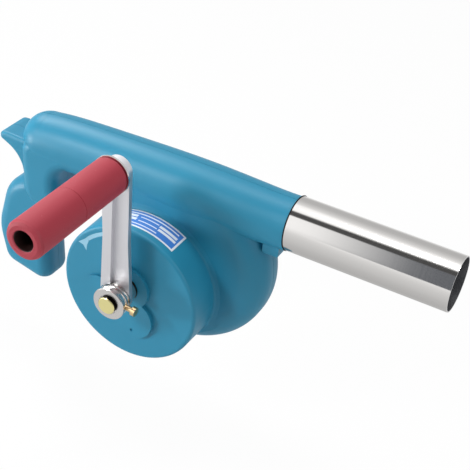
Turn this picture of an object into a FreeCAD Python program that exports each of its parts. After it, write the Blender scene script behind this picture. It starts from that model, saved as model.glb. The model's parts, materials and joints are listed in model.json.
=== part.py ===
"""Hand crank forge blower: a pistol-grip centrifugal blower turned by a crank through three gear steps.

Frame: millimetres, X from the grip towards the outlet tube, Y from the crank side to the air inlet side,
Z up. The origin is the middle of the pistol grip, where a hand holds the blower. Y = 0 is the joint plane
of the two housing shells.
"""
import FreeCAD, Part
import math
import os
import re

from FreeCAD import Placement, Rotation, Vector

doc = FreeCAD.newDocument("ForgeBlower")

# ------------------------------------------------------------------------------------------ driving sizes
SIZES = {
    # housing
    "wall": 2.4,
    "seam_gap": 0.2,
    "disc_half": 16.5,
    "disc_round": 14.5,
    "neck_half": 16.0,
    "neck_round": 7.2,
    "web_half": 12.5,
    "web_round": 2.7,
    "grip_half": 12.5,
    "grip_round": 8.5,
    "drum_x": 98.0,
    "drum_z": 3.2,
    "fan_dx": 13.5,
    "fan_dz": 18.8,
    "disc_radius": 59.2,
    "disc_drop": 0.8,
    "disc_left_radius": 54.6,
    "disc_left_shift": 5.5,
    "rear_x": 14.0,
    "rear_z": 60.8,
    "rear_radius": 16.5,
    "barrel_radius": 17.8,
    # outlet
    "tube_dz": 61.8,
    "tube_radius": 16.0,
    "tube_wall": 1.0,
    "tube_length": 95.5,
    "collar_x": 180.0,
    "spigot_length": 20.0,
    "fit_gap": 0.05,
    # gear drum
    "drum_radius": 45.0,
    "drum_draft": 0.3,
    "drum_seat": 17.6,
    "drum_depth": 21.9,
    "cover_wall": 2.2,
    "cover_round": 2.0,
    "base_flare": 6.0,
    "upper_boss_radius": 14.4,
    "lower_boss_radius": 13.4,
    "left_boss_radius": 8.5,
    "boss_rise": 2.2,
    "left_boss_rise": 1.5,
    # gears
    "gear_module": 1.0,
    "drive_teeth": 30.0,
    "first_pinion_teeth": 13.0,
    "first_gear_teeth": 40.0,
    "second_pinion_teeth": 14.0,
    "second_gear_teeth": 40.0,
    "third_gear_teeth": 20.0,
    "fan_pinion_teeth": 16.0,
    "first_idler_angle": 282.3,
    "second_idler_angle": 154.0,
    "gear_backlash": 0.16,
    "drive_gear_width": 4.6,
    "first_gear_width": 3.8,
    "second_gear_width": 3.9,
    "layer_gap": 0.6,
    "pin_radius": 1.5,
    "run_gap": 0.04,
    # crank
    "crank_dz": 6.3,
    "shaft_radius": 5.5,
    "gear_seat_radius": 4.0,
    "bush_wall": 2.2,
    "hub_front": 60.3,
    "hub_back": 43.0,
    "hub_radius": 10.2,
    "arm_front": 55.0,
    "arm_step": 52.0,
    "arm_back": 49.0,
    "arm_hub_radius": 9.0,
    "arm_end_radius": 8.0,
    "arm_rib_edge": 2.6,
    "end_boss_front": 56.6,
    "handle_dx": -2.3,
    "handle_dz": 84.2,
    "handle_far": 58.0,
    "handle_length": 74.0,
    "handle_radius": 11.0,
    "handle_bore": 5.7,
    "handle_bore_depth": 38.0,
    "spindle_radius": 4.0,
    "set_screw_radius": 1.6,
    "set_screw_angle": -5.0,
    # fan
    "fan_shaft_radius": 2.5,
    "impeller_radius": 44.0,
    "impeller_eye": 17.0,
    "impeller_back": -8.6,
    "impeller_front": 10.0,
    "vane_count": 10.0,
    "vane_thickness": 1.6,
    "inlet_radius": 25.0,
    "grille_bar": 2.4,
    "grille_spokes": 8.0,
    # screws
    "screw_radius": 1.5,
    "screw_head_radius": 2.9,
    "screw_boss_radius": 3.8,
}

sheet = doc.addObject("Spreadsheet::Sheet", "Sizes")
for row, (alias, number) in enumerate(SIZES.items(), start=1):
    sheet.set("A%d" % row, alias)
    sheet.set("B%d" % row, str(number))
    sheet.setAlias("B%d" % row, alias)
doc.recompute()


def size(alias):
    """The number that the sheet holds for one driving size."""
    return float(sheet.get(alias))


def bound(expression):
    """An expression written with bare size names, with each name pointed at the sheet."""
    def pointed(found):
        word = found.group(0)
        return "Sizes." + word if word in SIZES else word

    return re.sub(r"[a-z_][a-z_0-9]*", pointed, str(expression))


def worth(expression):
    """The value of such an expression now."""
    found = doc.getObject("Sizes").evalExpression(bound(expression))
    return float(getattr(found, "Value", found))


# ------------------------------------------------------------------------------------------ small helpers
def tie(item, prop, expression):
    item.setExpression(prop, bound(expression))


def place(item, x, y, z, rotation=None):
    """Place an object at three expressions, turned by a fixed rotation."""
    item.Placement = Placement(Vector(worth(x), worth(y), worth(z)), rotation or Rotation())
    for prop, expression in (("x", x), ("y", y), ("z", z)):
        tie(item, "Placement.Base." + prop, expression)


TO_BACK = Rotation(Vector(1, 0, 0), -90)     # turns an object's own Z towards +Y
TO_TUBE = Rotation(Vector(0, 1, 0), 90)      # turns an object's own Z towards +X


def rod(name, radius, start, length, x, z, turn=TO_BACK):
    """A cylinder along Y from y = start (or along X from x, with its axis at y = start)."""
    item = doc.addObject("Part::Cylinder", name)
    tie(item, "Radius", radius)
    tie(item, "Height", length)
    place(item, x, start, z, turn)
    return item


def block(name, x, y, z, long, deep, high):
    """A box with its low corner at x, y, z."""
    item = doc.addObject("Part::Box", name)
    tie(item, "Length", long)
    tie(item, "Width", deep)
    tie(item, "Height", high)
    place(item, x, y, z)
    return item


def fuse(name, items):
    item = doc.addObject("Part::MultiFuse", name)
    item.Shapes = items
    item.Refine = True
    return item


def cut(name, base, tool):
    item = doc.addObject("Part::Cut", name)
    item.Base = base
    item.Tool = tool
    item.Refine = True
    return item


def common(name, items):
    item = doc.addObject("Part::MultiCommon", name)
    item.Shapes = items
    item.Refine = True
    return item


PARTS = {}


def keep(name, item):
    """Give a finished sub-part its label and remember it for export."""
    item.Label = name
    PARTS[name] = item
    return item


# ----------------------------------------------------------------------------------------- sketch helpers
def new_sketch(body, name, role):
    sketch = body.newObject("Sketcher::SketchObject", name)
    plane = [f for f in body.Origin.OriginFeatures if f.Role == role][0]
    sketch.AttachmentSupport = (plane, [""])
    sketch.MapMode = "FlatFace"
    return sketch


def hold_point(sketch, geometry, end, across, along):
    """Fix one point of a sketch at two expressions."""
    import Sketcher
    for kind, expression in (("DistanceX", across), ("DistanceY", along)):
        index = sketch.addConstraint(Sketcher.Constraint(kind, -1, 1, geometry, end, worth(expression)))
        sketch.setExpression("Constraints[%d]" % index, bound(expression))


def belt(sketch, circles, inset="0"):
    """A closed outline of arcs joined by tangent lines, run counter-clockwise.

    Each circle is (across, along, radius, side): side 1 bulges outwards and side -1 inwards. The inset
    shrinks the outline by that much all round.
    """
    import Sketcher
    count = len(circles)
    signs = ["-" if side > 0 else "+" for _, _, _, side in circles]
    radii = ["(%s) %s (%s)" % (circle[2], sign, inset) for circle, sign in zip(circles, signs)]
    centres = [Vector(worth(a), worth(b), 0) for a, b, _, _ in circles]
    arrive, leave = [None] * count, [None] * count
    for i in range(count):
        j = (i + 1) % count
        step = centres[j] - centres[i]
        turn_in = circles[i][3] * worth(radii[i])
        turn_out = circles[j][3] * worth(radii[j])
        heading = math.atan2(step.y, step.x) - math.asin((turn_out - turn_in) / step.Length)
        normal = Vector(-math.sin(heading), math.cos(heading), 0)
        leave[i] = centres[i] - normal * turn_in
        arrive[j] = centres[j] - normal * turn_out
    arcs = []
    for i in range(count):
        first, last = (arrive[i], leave[i]) if circles[i][3] > 0 else (leave[i], arrive[i])
        a0 = math.atan2(first.y - centres[i].y, first.x - centres[i].x)
        a1 = math.atan2(last.y - centres[i].y, last.x - centres[i].x)
        if a1 < a0:
            a1 += 2 * math.pi
        ring = Part.Circle(centres[i], Vector(0, 0, 1), worth(radii[i]))
        arcs.append(sketch.addGeometry(Part.ArcOfCircle(ring, a0, a1)))
    lines = [sketch.addGeometry(Part.LineSegment(leave[i], arrive[(i + 1) % count])) for i in range(count)]
    for i in range(count):
        j = (i + 1) % count
        out_end = 2 if circles[i][3] > 0 else 1
        in_end = 1 if circles[j][3] > 0 else 2
        sketch.addConstraint(Sketcher.Constraint("Tangent", arcs[i], out_end, lines[i], 1))
        sketch.addConstraint(Sketcher.Constraint("Tangent", arcs[j], in_end, lines[i], 2))
    for i in range(count):
        index = sketch.addConstraint(Sketcher.Constraint("Radius", arcs[i], worth(radii[i])))
        sketch.setExpression("Constraints[%d]" % index, bound(radii[i]))
        hold_point(sketch, arcs[i], 3, circles[i][0], circles[i][1])


def polygon(sketch, points):
    """A closed outline of straight lines whose corners are held at expressions."""
    import Sketcher
    corners = [Vector(worth(a), worth(b), 0) for a, b in points]
    count = len(points)
    lines = []
    for i in range(count):
        lines.append(sketch.addGeometry(Part.LineSegment(corners[i], corners[(i + 1) % count])))
    for i in range(count):
        sketch.addConstraint(Sketcher.Constraint("Coincident", lines[i], 2, lines[(i + 1) % count], 1))
        hold_point(sketch, lines[i], 1, points[i][0], points[i][1])


def face_rim(shape, half):
    """The names of the edges that lie wholly in the two faces at y = half and y = -half."""
    names = []
    for number, edge in enumerate(shape.Edges, start=1):
        box = edge.BoundBox
        if box.YLength < 1e-6 and abs(abs(box.YMin) - half) < 1e-6:
            names.append("Edge%d" % number)
    return names


def pillow(name, circles, half, rounding, inset="0"):
    """A slab about the joint plane, with a belt outline and both rims rounded."""
    body = doc.addObject("PartDesign::Body", name)
    sketch = new_sketch(body, name + "_outline", "XZ_Plane")
    belt(sketch, circles, inset)
    pad = body.newObject("PartDesign::Pad", name + "_pad")
    pad.Profile = sketch
    pad.SideType = "Symmetric"
    tie(pad, "Length", "2 * ((%s) - (%s))" % (half, inset))
    doc.recompute()
    fillet = body.newObject("PartDesign::Fillet", name + "_round")
    fillet.Base = (pad, face_rim(pad.Shape, worth("(%s) - (%s)" % (half, inset))))
    tie(fillet, "Radius", "(%s) - (%s)" % (rounding, inset))
    body.Tip = fillet
    return body


def turned(name, points, x, y, z):
    """A turned piece about an axis along Y: each point is (radius, distance along Y)."""
    body = doc.addObject("PartDesign::Body", name)
    sketch = new_sketch(body, name + "_profile", "XY_Plane")
    polygon(sketch, points)
    turn = body.newObject("PartDesign::Revolution", name + "_turn")
    turn.Profile = sketch
    turn.ReferenceAxis = (sketch, ["V_Axis"])
    turn.Angle = 360
    body.Tip = turn
    place(body, x, y, z)
    return body


# ---------------------------------------------------------------------------------------- shared positions
FAN_X = "drum_x + fan_dx"
FAN_Z = "drum_z + fan_dz"
TUBE_Z = "drum_z + tube_dz"
CRANK_X = "drum_x"
CRANK_Z = "drum_z + crank_dz"
HANDLE_X = "drum_x + handle_dx"
HANDLE_Z = "drum_z + crank_dz + handle_dz"
COVER_FACE = "-drum_seat - drum_depth"


def mesh_distance(one, other):
    return size("gear_module") * (size(one) + size(other)) / 2


def third_corner(a, reach_a, b, reach_b):
    """The point at the two given distances from a and b, on the left of the way from b to a."""
    gap = (b - a).Length
    along = (reach_a ** 2 - reach_b ** 2 + gap ** 2) / (2 * gap)
    unit = (b - a) * (1 / gap)
    side = Vector(unit.z, 0, -unit.x)
    return a + unit * along + side * math.sqrt(reach_a ** 2 - along ** 2)


crank_axis = Vector(worth(CRANK_X), 0, worth(CRANK_Z))
fan_axis = Vector(worth(FAN_X), 0, worth(FAN_Z))


def offset_axis(axis, angle, distance):
    """The axis at a distance from another, in the direction of an angle from +X towards +Z."""
    way = math.radians(size(angle))
    return axis + Vector(math.cos(way), 0, math.sin(way)) * distance


first_axis = offset_axis(crank_axis, "first_idler_angle",
                         mesh_distance("drive_teeth", "first_pinion_teeth"))
second_axis = offset_axis(first_axis, "second_idler_angle",
                          mesh_distance("first_gear_teeth", "second_pinion_teeth"))
third_axis = third_corner(fan_axis, mesh_distance("third_gear_teeth", "fan_pinion_teeth"),
                          second_axis, mesh_distance("second_gear_teeth", "third_gear_teeth"))

# gear layers, as distances along Y from the crank side to the fan side
floor_front = -size("disc_half")
layer3_back = floor_front - 0.9
layer3_front = layer3_back - size("second_gear_width")
layer2_back = layer3_front - size("layer_gap")
layer2_front = layer2_back - size("first_gear_width")
layer1_back = layer2_front - 3 * size("layer_gap")
layer1_front = layer1_back - size("drive_gear_width")

# ------------------------------------------------------------------------------------------ housing solids
DISC = [
    ("drum_x + fan_dx + disc_drop", "drum_z + fan_dz - disc_drop", "disc_radius", 1),
    (FAN_X, "drum_z + fan_dz + disc_left_shift", "disc_left_radius", 1),
    (FAN_X, "drum_z + fan_dz - disc_left_shift", "disc_left_radius", 1),
]
NECK = [
    ("12.1", "54.5", "11", 1),
    ("14.8", "30", "12.3", 1),
    ("39.5", "38.5", "13", -1),
    ("drum_x + 2", "61.2", "10.5", 1),
]
WEB = [
    ("-10.6", "55.1", "6.2", 1),
    ("-12.9", "58.2", "2.9", 1),
    ("-17.8", "36", "19.2", -1),
    ("8", "24", "7", 1),
    ("16", "52", "8", 1),
]
GRIP = [
    ("16.3", "31", "9", 1),
    ("8", "8", "25", 1),
    ("13.9", "-10", "35", 1),
    ("-6.6", "-27", "11", 1),
    ("10.9", "-33", "9", 1),
    ("108.6", "-8", "90", -1),
]


def cone_between(name, x0, z0, r0, x1, z1, r1):
    """A cone from one centre in the joint plane to another, with the axis between them."""
    item = doc.addObject("Part::Cone", name)
    tie(item, "Radius1", r0)
    tie(item, "Radius2", r1)
    tie(item, "Height", "sqrt((%s - (%s))^2 + (%s - (%s))^2)" % (x1, x0, z1, z0))
    rise = math.atan2(worth(z1) - worth(z0), worth(x1) - worth(x0))
    place(item, x0, "0", z0, Rotation(Vector(0, 1, 0), 90 - math.degrees(rise)))
    return item


def slab_block(name, x, y, z, long, deep, high, rounding):
    """A block with all but its upright edges rounded."""
    base = block(name + "_block", x, y, z, long, deep, high)
    doc.recompute()
    item = doc.addObject("Part::Fillet", name)
    item.Base = base
    edges = []
    for number, edge in enumerate(base.Shape.Edges, start=1):
        along = edge.tangentAt(edge.FirstParameter)
        if abs(along.z) < 0.9:
            edges.append((number, worth(rounding), worth(rounding)))
    item.Edges = edges
    return item


def sphere(name, radius, x, z):
    item = doc.addObject("Part::Sphere", name)
    tie(item, "Radius", radius)
    place(item, x, "0", z)
    return item


def lofted(name, stations):
    """A solid lofted along X through rings in planes across it.

    Each station is (x, z, half height, half depth).
    """
    rings = []
    for number, (x, z, high, deep) in enumerate(stations):
        upright = worth(high) >= worth(deep)
        ring = doc.addObject("Part::Ellipse", "%s_ring_%d" % (name, number))
        tie(ring, "MajorRadius", high if upright else deep)
        tie(ring, "MinorRadius", deep if upright else high)
        towards = Rotation(Vector(0, 0, 1), Vector(0, 1, 0), Vector(1, 0, 0), "ZXY")
        place(ring, x, "0", z, towards if upright else towards.multiply(Rotation(Vector(0, 0, 1), 90)))
        rings.append(ring)
    loft = doc.addObject("Part::Loft", name)
    loft.Sections = rings
    loft.Solid = True
    loft.Ruled = False
    return loft


BARREL = [
    ("rear_x", "rear_z", "rear_radius", "rear_radius"),
    ("45", "tube_dz + drum_z - 2.2", "rear_radius + 0.45", "rear_radius + 0.45"),
    ("78", "tube_dz + drum_z - 1.6", "barrel_radius - 0.4", "barrel_radius - 0.4"),
    (FAN_X, "tube_dz + drum_z - 1.3", "barrel_radius", "barrel_radius"),
    ("146", "tube_dz + drum_z - 1.1", "barrel_radius - 0.75", "barrel_radius - 0.75"),
    ("collar_x", "tube_dz + drum_z - 0.5", "tube_radius", "tube_radius"),
]


def drum_foot():
    """The drum's foot: a round seat, with a flare only where the fan housing lies behind it."""
    bell = turned("drum_flare", [
        ("0", "-drum_seat"),
        ("drum_radius + drum_draft", "-drum_seat"),
        ("drum_radius + drum_draft + 0.2", "-drum_seat + 0.25"),
        ("drum_radius + drum_draft + 0.16 * base_flare", "-drum_seat + 0.6"),
        ("drum_radius + drum_draft + 0.45 * base_flare", "-drum_seat + 0.95"),
        ("drum_radius + drum_draft + base_flare", "-drum_seat + 1.6"),
        ("drum_radius + drum_draft + 0.5 * base_flare", "-disc_half + wall"),
        ("0", "-disc_half + wall"),
    ], "drum_x", "0", "drum_z")
    backed = doc.addObject("PartDesign::Body", "flare_limit")
    sketch = new_sketch(backed, "flare_limit_outline", "XZ_Plane")
    belt(sketch, DISC, "0.62 * disc_round")
    pad = backed.newObject("PartDesign::Pad", "flare_limit_pad")
    pad.Profile = sketch
    pad.SideType = "Symmetric"
    tie(pad, "Length", "4 * disc_half")
    backed.Tip = pad
    seat = rod("drum_seat_ring", "drum_radius + drum_draft", "-drum_seat", "drum_seat - disc_half + wall",
               "drum_x", "drum_z")
    return fuse("drum_foot", [common("drum_bell", [bell, backed]), seat])


outside = fuse("housing_outside", [
    common("disc_under_barrel", [
        pillow("disc", DISC, "disc_half", "disc_round"),
        block("disc_limit", "-60", "-60", "-80", "360", "120", "80 + drum_z + tube_dz + 5.3"),
    ]),
    pillow("neck", NECK, "neck_half", "neck_round"),
    pillow("web", WEB, "web_half", "web_round"),
    pillow("grip", GRIP, "grip_half", "grip_round"),
    sphere("rear_dome", "rear_radius", "rear_x", "rear_z"),
    lofted("barrel", BARREL),
    rod("spigot", "tube_radius - tube_wall - fit_gap", "0", "spigot_length + 2", "collar_x - 2", TUBE_Z,
        TO_TUBE),
    slab_block("screw_lug", "collar_x - 13.8", "-9.5", "drum_z + 40.8", "10", "19", "14", "2.2"),
    rod("lower_ear", "6", "-9", "18", "drum_x - 24.9", "drum_z - 30.4"),
    drum_foot(),
])

scroll = pillow("scroll_space", DISC, "disc_half", "disc_round", "wall")
duct = cone_between("duct_space", FAN_X, TUBE_Z, "barrel_radius - wall",
                    "collar_x", TUBE_Z, "tube_radius - 3")
outlet = rod("outlet_space", "tube_radius - 3", "0", "spigot_length + 2", "collar_x - 1", TUBE_Z, TO_TUBE)
rear_rooms = fuse("rear_rooms", [
    pillow("neck_space", NECK, "neck_half", "neck_round", "wall"),
    pillow("web_space", WEB, "web_half", "web_round", "wall"),
    pillow("grip_space", GRIP, "grip_half", "grip_round", "wall"),
    sphere("dome_space", "rear_radius - wall", "rear_x", "rear_z"),
    cone_between("barrel_space", "rear_x", "rear_z", "rear_radius - wall", "rear_x + 50", "rear_z + 2.8",
                 "rear_radius - wall + 0.7"),
])
rear_space = cut("rear_space", rear_rooms, pillow("scroll_wall", DISC, "disc_half", "disc_round"))
inside = fuse("housing_inside", [scroll, duct, outlet, rear_space])

# screw places (x, z), and how far behind the joint plane each shell screw's head ends
SHELL_SCREWS = [
    ("rear_x", "rear_z - 16.8"),
    ("rear_x + 32", "rear_z + 2"),
    ("3", "10"),
    ("0.5", "-25"),
    ("collar_x - 7.3", "drum_z + 42.8"),
    ("drum_x - 24.9", "drum_z - 30.4"),
]
SCREW_HEAD_BACK = ["13", "13.5", "10.5", "10.5", "10.5", "8"]
COVER_SCREWS = [
    ("drum_x + 29", "drum_z + 25"),
    ("drum_x + 35", "drum_z - 11"),
    ("drum_x - 21", "drum_z + 30"),
]


def columns(name, places, radius, start, length):
    return fuse(name, [rod("%s_%d" % (name, n), radius, start, length, x, z)
                       for n, (x, z) in enumerate(places, start=1)])


def screw_heads(name, radius, length):
    """Room for the heads of the shell screws, from each head's seat out through the back."""
    return fuse(name, [rod("%s_%d" % (name, n), radius, "(%s) - 2.4" % SCREW_HEAD_BACK[n - 1], length, x, z)
                       for n, (x, z) in enumerate(SHELL_SCREWS, start=1)])


def point_places(points):
    return [(str(point.x), str(point.z)) for point in points]


IDLER_PLACES = point_places([first_axis, second_axis])
THIRD_PLACE = point_places([third_axis])
LEFT, RIGHT, LOW, HIGH = "-60", "360", "-80", "200"

RECESS_REACH = 30          # how far in front of the joint plane the gear recess starts

# front shell
front_half = block("front_half", LEFT, "-60", LOW, RIGHT, "60 - seam_gap / 2", HIGH)
front_skin = cut("front_skin", common("front_blank", [outside, front_half]), inside)
front_bosses = common("front_bosses", [
    fuse("front_columns", [
        columns("front_column", SHELL_SCREWS, "screw_boss_radius", "-20", "20"),
        columns("pin_socket", IDLER_PLACES + THIRD_PLACE, "4", str(floor_front + 1), str(4.5)),
        rod("bush_socket", "fan_shaft_radius + 4.7", str(floor_front + 1), "4.1", FAN_X, FAN_Z),
    ]),
    outside,
])
front_cuts = fuse("front_cuts", [
    rod("gear_recess", "drum_radius - cover_wall + 0.5", str(-RECESS_REACH), str(RECESS_REACH + floor_front),
        "drum_x", "drum_z"),
    columns("front_pilot", SHELL_SCREWS, "screw_radius + 0.02", "-9", "12"),
    columns("pin_seat", IDLER_PLACES + THIRD_PLACE, "pin_radius + 0.02", str(floor_front - 1), "5.4"),
    rod("bush_seat", "fan_shaft_radius + 2.52", str(floor_front - 1), "8", FAN_X, FAN_Z),
    columns("cover_screw_hole", COVER_SCREWS, "screw_radius + 0.1", str(floor_front - 1), "6"),
])
keep("front_shell", cut("front_shell", fuse("front_body", [front_skin, front_bosses]), front_cuts))

# rear shell
rear_half = block("rear_half", LEFT, "seam_gap / 2", LOW, RIGHT, "60", HIGH)
rear_skin = cut("rear_skin", common("rear_blank", [outside, rear_half]), inside)
rear_columns = common("rear_bosses", [
    columns("rear_column", SHELL_SCREWS, "screw_boss_radius", "0", "20"),
    outside,
])
inlet_hole = rod("inlet_hole", "inlet_radius", "5", "20", FAN_X, FAN_Z)
GRILLE_FRONT = "disc_half - wall"
grille_parts = [
    rod("grille_hub", "fan_shaft_radius + 4.7", "disc_half - 4.9", "4.9", FAN_X, FAN_Z),
    cut("grille_ring",
        rod("grille_ring_out", "inlet_radius * 0.66", GRILLE_FRONT, "wall", FAN_X, FAN_Z),
        rod("grille_ring_in", "inlet_radius * 0.66 - grille_bar", GRILLE_FRONT, "wall", FAN_X, FAN_Z)),
]
for number in range(int(size("grille_spokes"))):
    angle = 360.0 / size("grille_spokes") * (number + 0.5)
    spoke = doc.addObject("Part::Box", "grille_spoke_%d" % (number + 1))
    tie(spoke, "Length", "inlet_radius + 1")
    tie(spoke, "Width", "wall")
    tie(spoke, "Height", "grille_bar")
    spin = Rotation(Vector(0, -1, 0), angle)
    spoke.Placement = Placement(fan_axis + Vector(0, worth(GRILLE_FRONT), 0), spin).multiply(
        Placement(Vector(0, 0, -size("grille_bar") / 2), Rotation()))
    grille_parts.append(spoke)
rear_cuts = fuse("rear_cuts", [
    columns("rear_clear", SHELL_SCREWS, "screw_radius + 0.1", "-1", "22"),
    screw_heads("head_room", "screw_head_radius + 0.3", "12"),
    rod("rear_bush_seat", "fan_shaft_radius + 2.52", "5", "disc_half - 5.6", FAN_X, FAN_Z),
])
rear_open = cut("rear_open", fuse("rear_body", [rear_skin, rear_columns]), inlet_hole)
keep("rear_shell", cut("rear_shell", fuse("rear_grilled", [rear_open] + grille_parts), rear_cuts))

# outlet tube over the spigot
keep("outlet_tube", cut(
    "outlet_tube",
    rod("tube_outside", "tube_radius", "0", "tube_length", "collar_x", TUBE_Z, TO_TUBE),
    rod("tube_inside", "tube_radius - tube_wall", "0", "tube_length + 2", "collar_x - 1", TUBE_Z, TO_TUBE)))

# gear cover
cover_cup = turned("cover_cup", [
    ("0", COVER_FACE),
    ("drum_radius - cover_round", COVER_FACE),
    ("drum_radius - 0.62 * cover_round", COVER_FACE + " + 0.08 * cover_round"),
    ("drum_radius - 0.29 * cover_round", COVER_FACE + " + 0.29 * cover_round"),
    ("drum_radius - 0.08 * cover_round", COVER_FACE + " + 0.62 * cover_round"),
    ("drum_radius", COVER_FACE + " + cover_round"),
    ("drum_radius + drum_draft", "-drum_seat - 0.15"),
    ("drum_radius - cover_wall + 0.45", "-drum_seat - 0.15"),
    ("drum_radius - cover_wall + 0.45", "-drum_seat + 0.8"),
    ("drum_radius - cover_wall - 0.9", "-drum_seat + 0.8"),
    ("drum_radius - cover_wall - 0.9", "-drum_seat - 1"),
    ("drum_radius - cover_wall - 0.3", "-drum_seat - 1.8"),
    ("drum_radius - cover_wall - 0.3", COVER_FACE + " + cover_wall"),
    ("0", COVER_FACE + " + cover_wall"),
], "drum_x", "0", "drum_z")
BOSS_FRONT = COVER_FACE + " - boss_rise"
INNER_ROOT = COVER_FACE + " + 1"          # bosses inside the cover start within its wall
inner_root = worth(INNER_ROOT)
cover_solid = fuse("cover_solid", [
    cover_cup,
    rod("upper_boss", "upper_boss_radius", BOSS_FRONT, "boss_rise + 1", CRANK_X, CRANK_Z),
    rod("lower_boss", "lower_boss_radius", BOSS_FRONT, "boss_rise + 1", *IDLER_PLACES[0]),
    rod("left_boss", "left_boss_radius", COVER_FACE + " - left_boss_rise", "left_boss_rise + 1",
        *IDLER_PLACES[1]),
    rod("bush_boss", "shaft_radius + bush_wall + 2.4", INNER_ROOT, str(layer1_front - 1.4 - inner_root),
        CRANK_X, CRANK_Z),
    columns("pin_boss", IDLER_PLACES, "4", INNER_ROOT, "5.2"),
    common("cover_columns", [
        columns("cover_column", COVER_SCREWS, "screw_boss_radius", INNER_ROOT, str(floor_front - inner_root)),
        rod("cover_reach", "drum_radius - cover_wall + 0.4", COVER_FACE, "drum_depth + 10", "drum_x", "drum_z"),
    ]),
])
cover_cuts = fuse("cover_cuts", [
    rod("bush_bore", "shaft_radius + bush_wall + 0.02", "-60", "40", CRANK_X, CRANK_Z),
    columns("cover_pilot", COVER_SCREWS, "screw_radius + 0.02", "-27", "15"),
    columns("pin_bore", IDLER_PLACES, "pin_radius + 0.02", COVER_FACE + " + 3", "20"),
    rod("dimple", "1", BOSS_FRONT + " - 1", "1.6", IDLER_PLACES[0][0], "%s - 8.5" % IDLER_PLACES[0][1]),
])
keep("gear_cover", cut("gear_cover", cover_solid, cover_cuts))
BUSH_BACK = str(layer1_front - 0.6)
keep("shaft_bush", cut(
    "shaft_bush",
    rod("shaft_bush_out", "shaft_radius + bush_wall", BOSS_FRONT + " - 0.3",
        "%s + drum_seat + drum_depth + boss_rise + 0.3" % BUSH_BACK, CRANK_X, CRANK_Z),
    rod("shaft_bush_in", "shaft_radius + run_gap", "-60", "40", CRANK_X, CRANK_Z)))


# ------------------------------------------------------------------------------------------------- gears
def gear_solid(teeth, phase, front, back):
    """A spur gear about the Y axis, from y = front to back, with a tooth centred at phase (degrees)."""
    module = size("gear_module")
    pitch = module * teeth / 2
    base = pitch * math.cos(math.radians(20))
    tip = pitch + 0.8 * module
    root = pitch - 1.05 * module

    def lag(radius):
        bend = math.acos(min(1.0, base / radius))
        return math.tan(bend) - bend

    half = (math.pi * module / 2 - size("gear_backlash")) / (2 * pitch)
    low = max(base, root)
    radii = [low, pitch, tip] if low > root + 0.02 else [root + 0.3 * module, pitch, tip]
    corners = []
    for tooth in range(int(teeth)):
        centre = math.radians(phase) + 2 * math.pi * tooth / teeth
        flank = [(root, half + lag(pitch) - lag(radii[0]))]
        flank += [(radius, half + lag(pitch) - lag(radius)) for radius in radii]
        for radius, offset in flank:
            corners.append((radius, centre - offset))
        for radius, offset in reversed(flank):
            corners.append((radius, centre + offset))
    points = [Vector(r * math.cos(a), 0, r * math.sin(a)) for r, a in corners]
    face = Part.Face(Part.makePolygon(points + points[:1]))
    solid = face.extrude(Vector(0, back - front, 0))
    solid.translate(Vector(0, front, 0))
    return solid


def disc_solid(radius, front, back):
    return Part.makeCylinder(radius, back - front, Vector(0, front, 0), Vector(0, 1, 0))


BORE_FROM, BORE_TO = -80, 20          # a bore runs past both ends of any gear


def wheel(name, axis, solids, bore):
    """A gear wheel at an axis: its solids joined, with a round bore through them."""
    item = doc.addObject("Part::Feature", name)
    shape = solids[0].multiFuse(solids[1:]) if len(solids) > 1 else solids[0]
    shape = shape.cut(disc_solid(bore, BORE_FROM, BORE_TO)).removeSplitter()
    item.Shape = shape
    item.Placement = Placement(axis, Rotation())
    return keep(name, item)


def partner_phase(axis1, teeth1, phase1, axis2, teeth2):
    """The phase that sets a gear's tooth gap on a tooth of the gear it meshes with."""
    way = math.atan2(axis2.z - axis1.z, axis2.x - axis1.x)
    share = (way - math.radians(phase1)) * teeth1 / (2 * math.pi)
    return math.degrees(way + math.pi - (0.5 - share) * 2 * math.pi / teeth2)


drive_phase = 0.0
first_pinion_phase = partner_phase(crank_axis, size("drive_teeth"), drive_phase,
                                   first_axis, size("first_pinion_teeth"))
first_gear_phase = 0.0
second_pinion_phase = partner_phase(first_axis, size("first_gear_teeth"), first_gear_phase,
                                    second_axis, size("second_pinion_teeth"))
second_gear_phase = 0.0
third_gear_phase = partner_phase(second_axis, size("second_gear_teeth"), second_gear_phase,
                                 third_axis, size("third_gear_teeth"))
fan_pinion_phase = partner_phase(third_axis, size("third_gear_teeth"), third_gear_phase,
                                 fan_axis, size("fan_pinion_teeth"))
pin_bore = size("pin_radius") + size("run_gap")
cover_boss_back = worth(COVER_FACE) + 6.2

wheel("drive_gear", crank_axis, [gear_solid(size("drive_teeth"), drive_phase, layer1_front, layer1_back)],
      size("gear_seat_radius") + 0.02)
wheel("first_idler_gear", first_axis, [
    gear_solid(size("first_pinion_teeth"), first_pinion_phase, layer1_front, layer2_front + 0.1),
    gear_solid(size("first_gear_teeth"), first_gear_phase, layer2_front, layer2_back),
    disc_solid(2.8, cover_boss_back + 0.2, floor_front - 0.3),
], pin_bore)
wheel("second_idler_gear", second_axis, [
    disc_solid(2.8, cover_boss_back + 0.2, layer2_front + 0.1),
    gear_solid(size("second_pinion_teeth"), second_pinion_phase, layer2_front, layer3_front + 0.1),
    gear_solid(size("second_gear_teeth"), second_gear_phase, layer3_front, layer3_back),
    disc_solid(4.0, layer3_back - 0.1, floor_front - 0.3),
], pin_bore)
wheel("third_idler_gear", third_axis, [
    gear_solid(size("third_gear_teeth"), third_gear_phase, layer3_front, layer3_back),
    disc_solid(4.0, layer3_back - 0.1, floor_front - 0.3),
], pin_bore)
wheel("fan_pinion", fan_axis, [
    gear_solid(size("fan_pinion_teeth"), fan_pinion_phase, layer3_front, layer3_back),
], size("fan_shaft_radius") + 0.02)

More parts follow.
